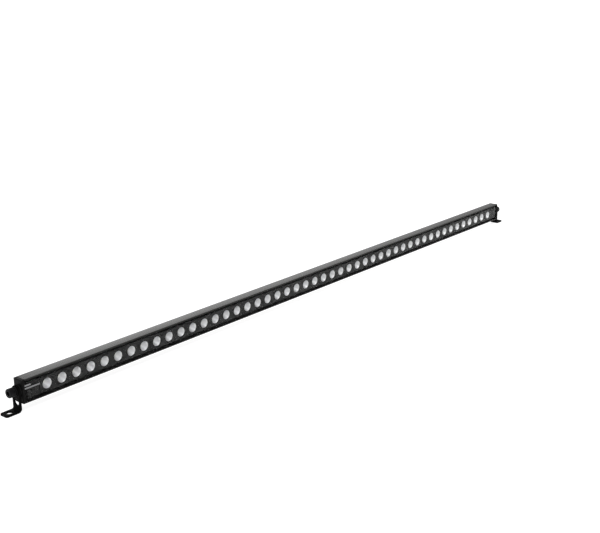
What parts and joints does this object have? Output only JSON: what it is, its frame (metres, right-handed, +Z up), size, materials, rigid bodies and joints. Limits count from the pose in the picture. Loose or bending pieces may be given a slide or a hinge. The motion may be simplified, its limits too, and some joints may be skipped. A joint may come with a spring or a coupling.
{
  "type": "led light bar",
  "caption": "Slim straight LED light bar with a long flat lens, a grooved black aluminium body and an L bracket that tilts on a bolt at each end.",
  "frame": {"origin": "middle of the base of the whole object's box, on the plane under the feet", "axes": "+X along the bar to the end away from the gland, -Y the way the lens faces, +Z up"},
  "size_m": [1.3092, 0.029, 0.0448],
  "materials": {
    "black_anodised": "satin black anodised",
    "powder_coat": "fine satin powder coat",
    "powder_coat_steel": "fine satin powder coat",
    "black_steel": "black oxide",
    "clear_lens": "clear gloss",
    "rubber": "matte",
    "reflector": "metallised gloss",
    "circuit_board": "white solder mask",
    "green_board": "solder mask",
    "thermal_pad": "matte",
    "matte_black": "matte",
    "copper": "enamelled copper",
    "tin": "bright",
    "red_wire": "wire insulation",
    "black_wire": "wire insulation"
  },
  "bodies": {
    "lamp": {"housing": "black_anodised", "front_lens": "clear_lens", "lens_seal": "rubber", "thermal_pad": "thermal_pad", "reflector_strip_1": "reflector", "reflector_strip_2": "reflector", "reflector_strip_3": "reflector", "reflector_strip_4": "reflector", "reflector_strip_5": "reflector", "reflector_strip_6": "reflector", "led_board_1": "circuit_board", "led_board_2": "circuit_board", "led_board_3": "circuit_board", "led_board_4": "circuit_board", "led_board_5": "circuit_board", "led_board_6": "circuit_board", "board_link_1": "tin", "board_link_2": "tin", "board_link_3": "tin", "board_link_4": "tin", "board_link_5": "tin", "driver_board": "green_board", "driver_coil": "copper", "driver_capacitor": "tin", "lead_positive": "red_wire", "lead_negative": "black_wire", "gland_body": "matte_black", "gland_nut": "matte_black", "gland_seal": "rubber", "vent_plug": "matte_black", "end_cap_left": "powder_coat", "end_gasket_left": "rubber", "blank_panel_left": "matte_black", "pivot_bolt_left": "black_steel", "spacer_left": "matte_black", "flat_washer_left": "black_steel", "cap_screw_left_1": "black_steel", "cap_screw_left_2": "black_steel", "cap_screw_left_3": "black_steel", "cap_screw_left_4": "black_steel", "end_cap_right": "powder_coat", "end_gasket_right": "rubber", "blank_panel_right": "matte_black", "pivot_bolt_right": "black_steel", "spacer_right": "matte_black", "flat_washer_right": "black_steel", "cap_screw_right_1": "black_steel", "cap_screw_right_2": "black_steel", "cap_screw_right_3": "black_steel", "cap_screw_right_4": "black_steel"},
    "bracket_left": {"bracket_left": "powder_coat_steel"},
    "bracket_right": {"bracket_right": "powder_coat_steel"}
  },
  "joints": [
    {"name": "tilt_left", "type": "hinge", "parent": "lamp", "child": "bracket_left", "pos_m": [-0.6315, -0.005, 0.0292], "axis": [1, 0, 0], "continuous": true},
    {"name": "tilt_right", "type": "hinge", "parent": "lamp", "child": "bracket_right", "pos_m": [0.6315, -0.005, 0.0292], "axis": [1, 0, 0], "continuous": true}
  ]
}
